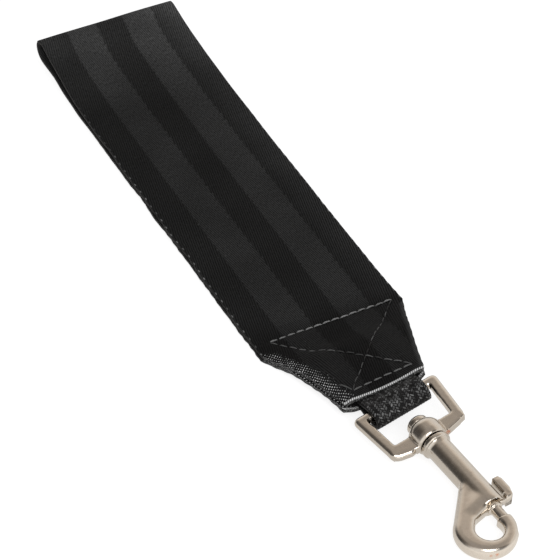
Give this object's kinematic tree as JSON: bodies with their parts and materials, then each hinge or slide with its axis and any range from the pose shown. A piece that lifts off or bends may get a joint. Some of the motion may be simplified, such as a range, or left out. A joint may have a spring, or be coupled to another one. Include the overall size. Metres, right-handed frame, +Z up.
{
  "type": "lanyard",
  "caption": "Wrist lanyard of wide webbing folded into a flat loop, with a narrow sewn-in tab that carries a swivel bolt snap.",
  "frame": {"origin": "middle of the strap's flat underside", "axes": "+Y along the strap towards its folded end, -Y towards the snap, +X across the strap, +Z up from the surface it lies on"},
  "size_m": [0.048, 0.2614, 0.011],
  "materials": {
    "strap": "matt woven, ribbed, with two paler twill stripes",
    "tab": "matt, coarse basket weave",
    "thread": "matt twisted",
    "nickel": "polished nickel plate",
    "spring": "drawn steel wire"
  },
  "bodies": {
    "strap": {"strap_webbing": "strap", "tab_webbing": "tab", "needle_thread": "thread", "bobbin_thread": "thread"},
    "eye": {"swivel_eye": "nickel"},
    "snap": {"snap_hook": "nickel", "bolt_spring": "spring"},
    "bolt": {"snap_bolt": "nickel"}
  },
  "joints": [
    {"name": "eye_swing", "type": "hinge", "parent": "strap", "child": "eye", "pos_m": [-0.0001, -0.114, 0.00615], "axis": [0.9829, 0.1025, 0.1527], "range_deg": [-120, 120]},
    {"name": "swivel", "type": "hinge", "parent": "eye", "child": "snap", "pos_m": [0.0016, -0.12887, 0.00523], "axis": [0.113, -0.9917, -0.0614], "continuous": true},
    {"name": "bolt_slide", "type": "slide", "parent": "snap", "child": "bolt", "axis": [-0.113, 0.9917, 0.0614], "range_m": [0, 0.0062], "stiffness_N_per_m": 300, "springref_m": -0.006, "deforming": ["bolt_spring"]}
  ]
}
